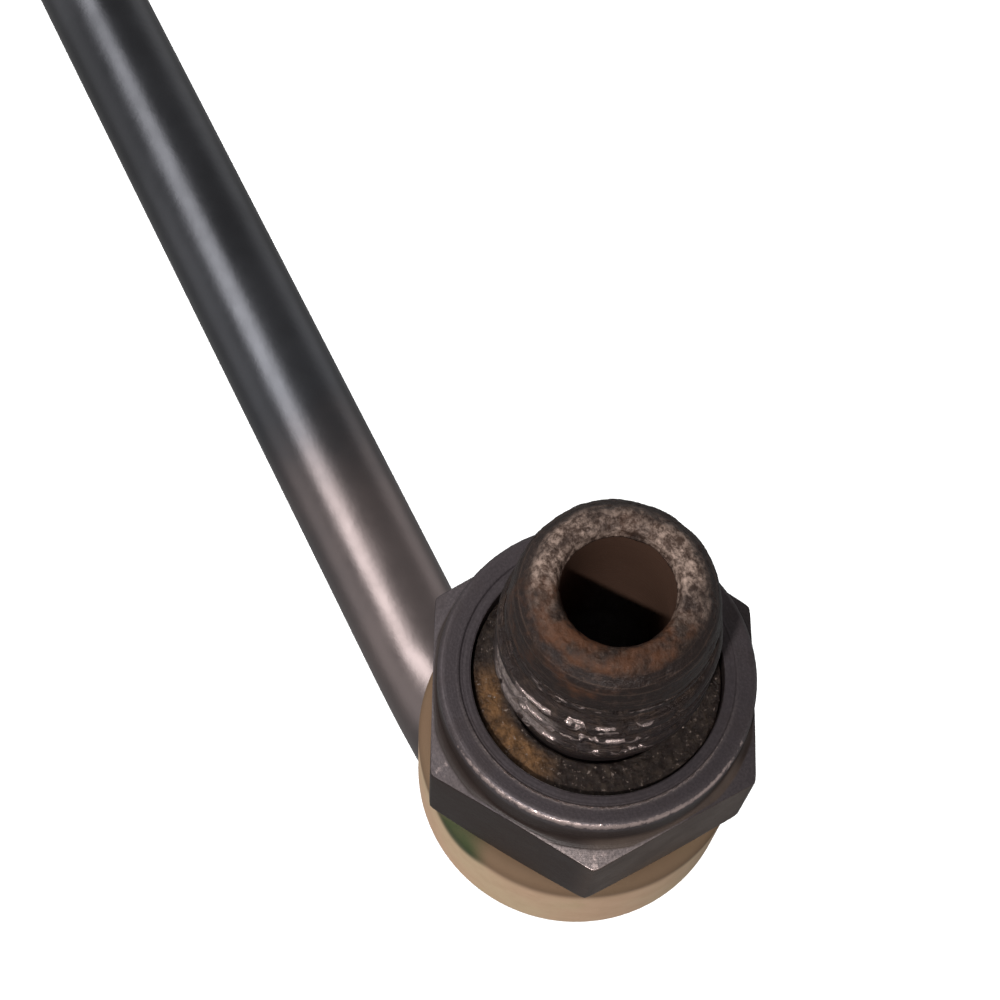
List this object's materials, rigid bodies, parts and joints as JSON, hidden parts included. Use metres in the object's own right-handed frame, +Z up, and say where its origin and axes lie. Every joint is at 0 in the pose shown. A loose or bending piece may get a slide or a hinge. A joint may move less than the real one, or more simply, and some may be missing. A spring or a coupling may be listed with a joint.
{
  "type": "fuel nozzle",
  "caption": "Swivelling dispensing spout: hexagon body with a bored, threaded inlet nipple, swivel collar, bent steel tube and a screwed anti-drip tip.",
  "frame": {"origin": "on the nipple's axis, in the plane of the raised round land that the mating socket seats on", "axes": "+Z up the inlet nipple and out of its mouth, +X along the spout's long straight run, towards the tip"},
  "size_m": [0.24, 0.0276, 0.1852],
  "materials": {
    "worn_steel": "dark oiled steel, rusty and worn at the nipple",
    "fibre": "greasy vulcanised fibre",
    "nitrile": "matt black",
    "bronze": "plain bearing bronze",
    "stainless": "satin stainless",
    "spring_steel": "bright drawn",
    "yellow_zinc": "pale yellow-tan passivated zinc, with a small green mark on the collar rim",
    "bearing_steel": "polished",
    "plug_steel": "oiled and staked flush",
    "dark_tube": "dark satin coat over drawn steel",
    "braze": "dull brass braze metal",
    "copper": "soft annealed copper",
    "tip_aluminium": "turned satin aluminium",
    "valve_brass": "turned brass"
  },
  "bodies": {
    "stem": {"inlet_stem": "worn_steel", "inlet_seal": "fibre", "front_o_ring": "nitrile", "rear_o_ring": "nitrile", "thrust_washer": "bronze", "inlet_strainer": "stainless", "strainer_clip": "spring_steel"},
    "spout": {"swivel_collar": "yellow_zinc", "dust_seal": "nitrile", "bearing_balls": "bearing_steel", "ball_plug": "plug_steel", "spout_tube": "dark_tube", "collar_braze": "braze", "tip_braze": "braze", "tip_adapter": "yellow_zinc", "tip_gasket": "copper", "tip_nose": "tip_aluminium", "spring_seat": "stainless", "seat_clip": "spring_steel", "valve_spring": "spring_steel"},
    "poppet": {"valve_poppet": "valve_brass", "poppet_seal": "nitrile"}
  },
  "joints": [
    {"name": "spout_swivel", "type": "hinge", "parent": "stem", "child": "spout", "pos_m": [0, 0, -0.0238], "axis": [0, 0, 1], "continuous": true},
    {"name": "poppet_slide", "type": "slide", "parent": "spout", "child": "poppet", "axis": [0, 0, -1], "range_m": [0, 0.0035], "stiffness_N_per_m": 300, "springref_m": -0.004, "deforming": ["valve_spring"]}
  ]
}
